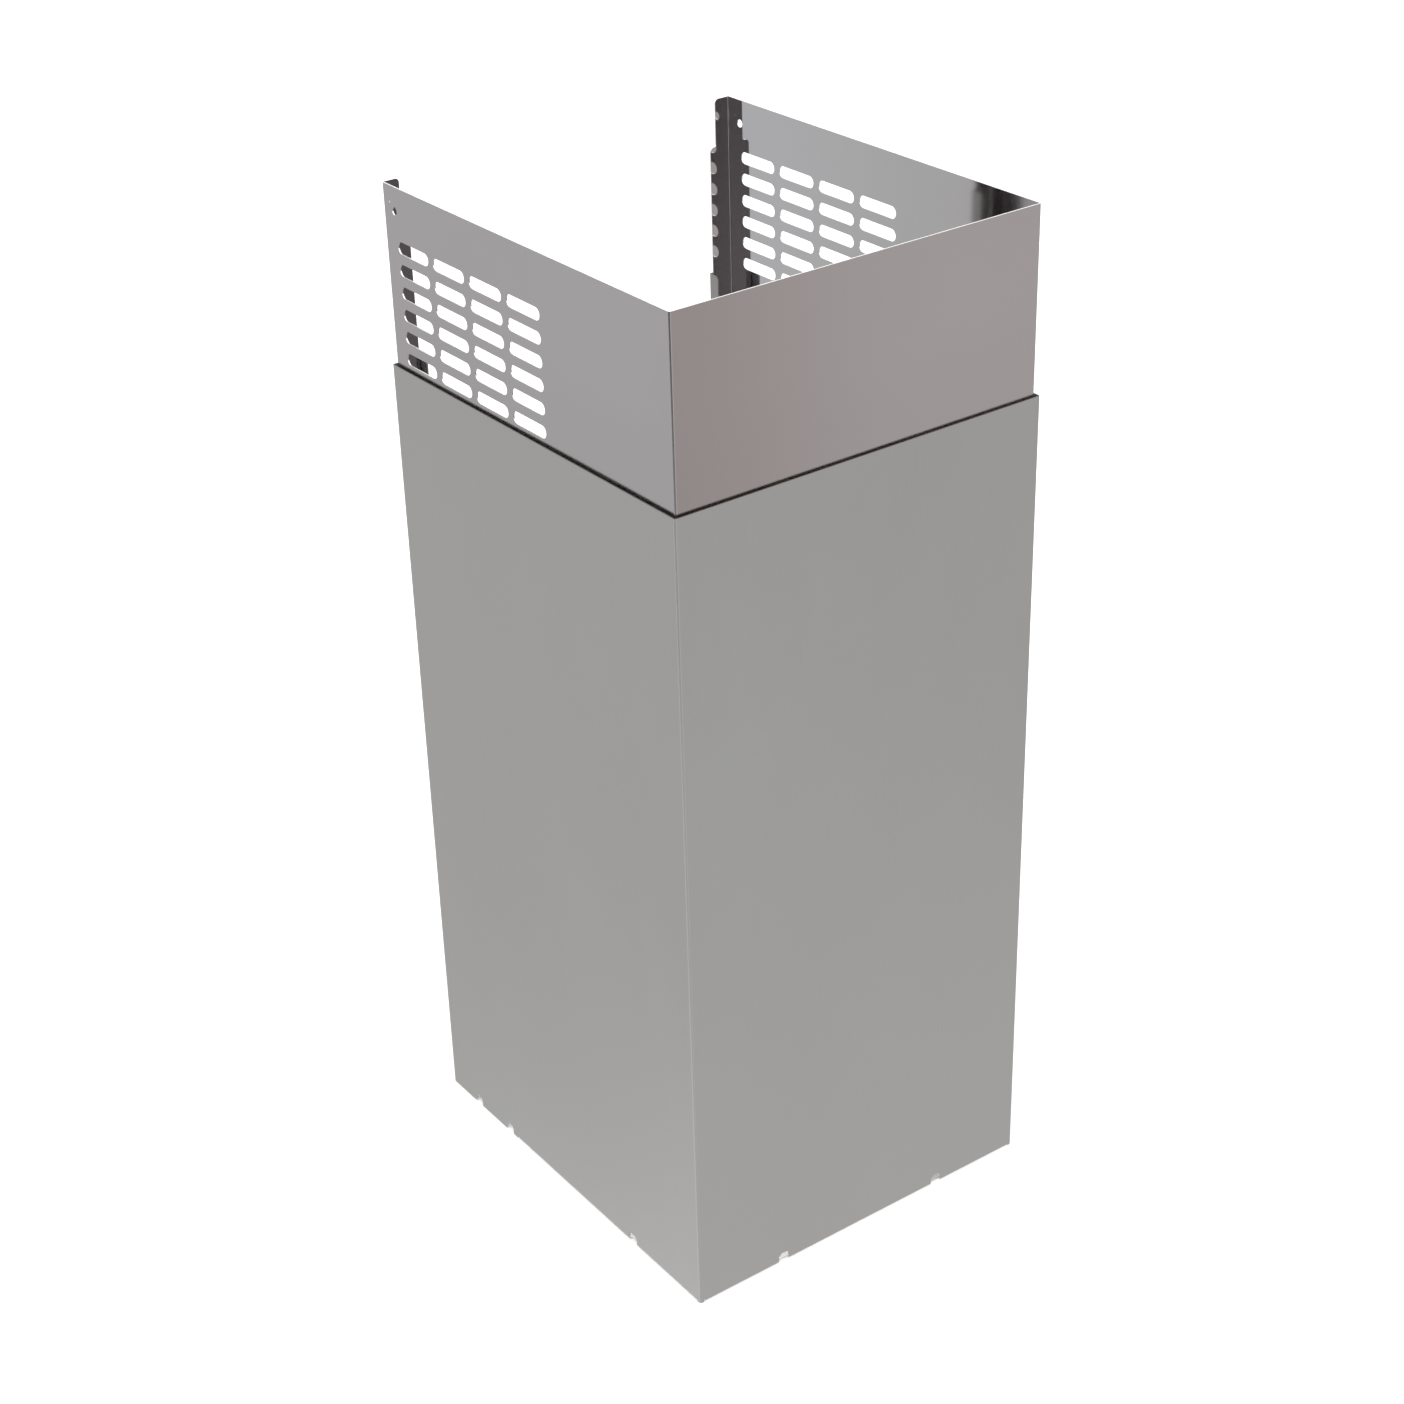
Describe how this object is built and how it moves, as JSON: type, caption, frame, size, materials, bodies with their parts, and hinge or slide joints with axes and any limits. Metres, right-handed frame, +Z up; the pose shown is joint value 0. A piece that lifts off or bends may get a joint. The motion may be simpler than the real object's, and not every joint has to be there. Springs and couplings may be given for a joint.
{
  "type": "cooker hood chimney section",
  "caption": "Telescoping chimney for a wall cooker hood: a folded sheet upper cover with vent slots slides inside a folded sheet lower cover, both open at the back, top and bottom.",
  "frame": {"origin": "centre of the overall box in X and Y, on the bottom edge of the lower cover", "axes": "+Z up, the front panel faces -Y, the open back and the wall are at +Y, +X to the right seen from the front"},
  "size_m": [0.25, 0.28, 0.63],
  "materials": {
    "outer_steel": "satin stainless sheet",
    "inner_steel": "satin stainless sheet, a little brighter and warmer"
  },
  "bodies": {
    "lower": {"lower_cover": "outer_steel"},
    "upper": {"upper_cover": "inner_steel"}
  },
  "joints": [
    {"name": "upper_slide", "type": "slide", "parent": "lower", "child": "upper", "axis": [0, 0, 1], "range_m": [-0.11, 0.35]}
  ]
}
